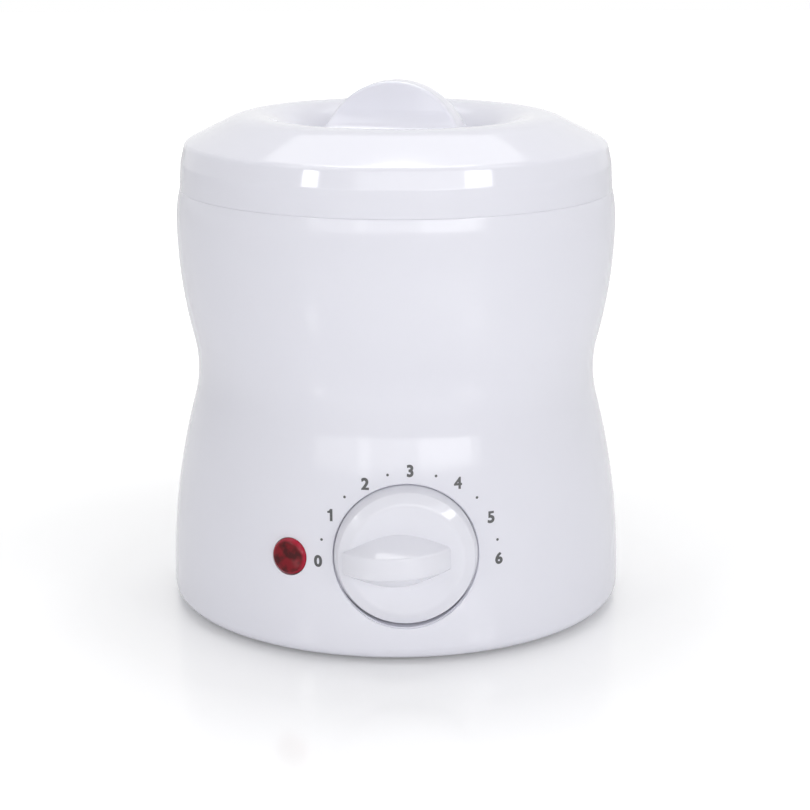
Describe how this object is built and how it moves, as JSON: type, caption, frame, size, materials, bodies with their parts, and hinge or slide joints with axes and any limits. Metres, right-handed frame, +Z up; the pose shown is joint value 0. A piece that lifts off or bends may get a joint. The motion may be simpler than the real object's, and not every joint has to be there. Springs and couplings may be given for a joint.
{
  "type": "wax heater",
  "caption": "Table-top wax heater with a waisted housing, lift-off lid with a grip fin, wax pot with a bail in a heating well, dial knob, indicator lamp and rear cord inlet.",
  "frame": {"origin": "middle of the footprint of the whole part, on the surface that the feet stand on; it is on the housing's axis across, and within the stated tolerance of it front to back", "axes": "+Z up; -Y is the front, where the dial and the lamp are; +Y is the back, where the cord inlet points; +X is to the right for someone who looks at the dial"},
  "size_m": [0.1458, 0.162, 0.1672],
  "materials": {
    "shell_white": "glossy moulded white with a faint lavender tint",
    "base_grey": "moulded light grey",
    "foot_rubber": "matt black rubber",
    "screw_steel": "zinc-plated steel",
    "well_aluminium": "spun aluminium, satin",
    "pot_aluminium": "drawn aluminium, brushed",
    "bail_steel": "bright steel wire",
    "band_steel": "stainless strip and pressed sheet",
    "insulation_wool": "pressed mineral fibre",
    "brass_parts": "plain brass",
    "thermostat_case": "dark moulded resin",
    "copper_tube": "copper alloy tube",
    "fuse_case": "plain metal case",
    "lens_red": "deep red, polished",
    "block_white": "natural white plastic",
    "gland_black": "moulded black nylon",
    "lead_brown": "brown insulation",
    "lead_blue": "blue insulation",
    "lead_green": "green and yellow insulation shown green"
  },
  "bodies": {
    "housing_body": {"housing": "shell_white", "base_cover": "base_grey", "feet": "foot_rubber", "well_gasket": "foot_rubber", "base_screws": "screw_steel", "well_screws": "screw_steel", "thermostat_screws": "screw_steel", "block_screws": "screw_steel", "band_bolt": "screw_steel", "shield_nut": "screw_steel", "shield_spacer": "screw_steel", "heating_well": "well_aluminium", "heater_band": "band_steel", "bulb_strap": "band_steel", "fuse_strap": "band_steel", "heat_shield": "band_steel", "lamp_clip": "band_steel", "insulation_sleeve": "insulation_wool", "earth_tag": "brass_parts", "thermostat_tabs": "brass_parts", "lamp_tabs": "brass_parts", "terminal_screws": "brass_parts", "thermostat_body": "thermostat_case", "neon_lamp": "thermostat_case", "sensing_bulb": "copper_tube", "capillary_tube": "copper_tube", "thermal_fuse": "fuse_case", "indicator_lens": "lens_red", "terminal_block": "block_white", "cord_gland": "gland_black", "gland_nut": "gland_black", "gland_cap": "gland_black", "heater_lead": "lead_brown", "fuse_leads": "lead_brown", "thermostat_leads": "lead_blue", "lamp_leads": "lead_blue", "earth_lead": "lead_green"},
    "knob_body": {"dial_knob": "shell_white", "knob_clip": "band_steel", "thermostat_shaft": "band_steel"},
    "pot_body": {"wax_pot": "pot_aluminium", "bail_lugs": "pot_aluminium"},
    "bail_body": {"bail_handle": "bail_steel"},
    "lid_body": {"lid": "shell_white"}
  },
  "joints": [
    {"name": "knob_turn", "type": "hinge", "parent": "housing_body", "child": "knob_body", "pos_m": [0, -0.0643, 0.0335], "axis": [0, 1, 0], "range_deg": [0, 180]},
    {"name": "pot_lift", "type": "slide", "parent": "housing_body", "child": "pot_body", "axis": [0, 0, 1], "range_m": [0, 0.08]},
    {"name": "lid_lift", "type": "slide", "parent": "pot_body", "child": "lid_body", "axis": [0, 0, 1], "range_m": [0, 0.12]},
    {"name": "bail_swing", "type": "hinge", "parent": "pot_body", "child": "bail_body", "pos_m": [0, 0, 0.125], "axis": [1, 0, 0], "range_deg": [0, 90]}
  ],
  "couplings": [
    {"joint": "bail_swing", "follows": "lid_lift", "rad_per_m": 13}
  ]
}
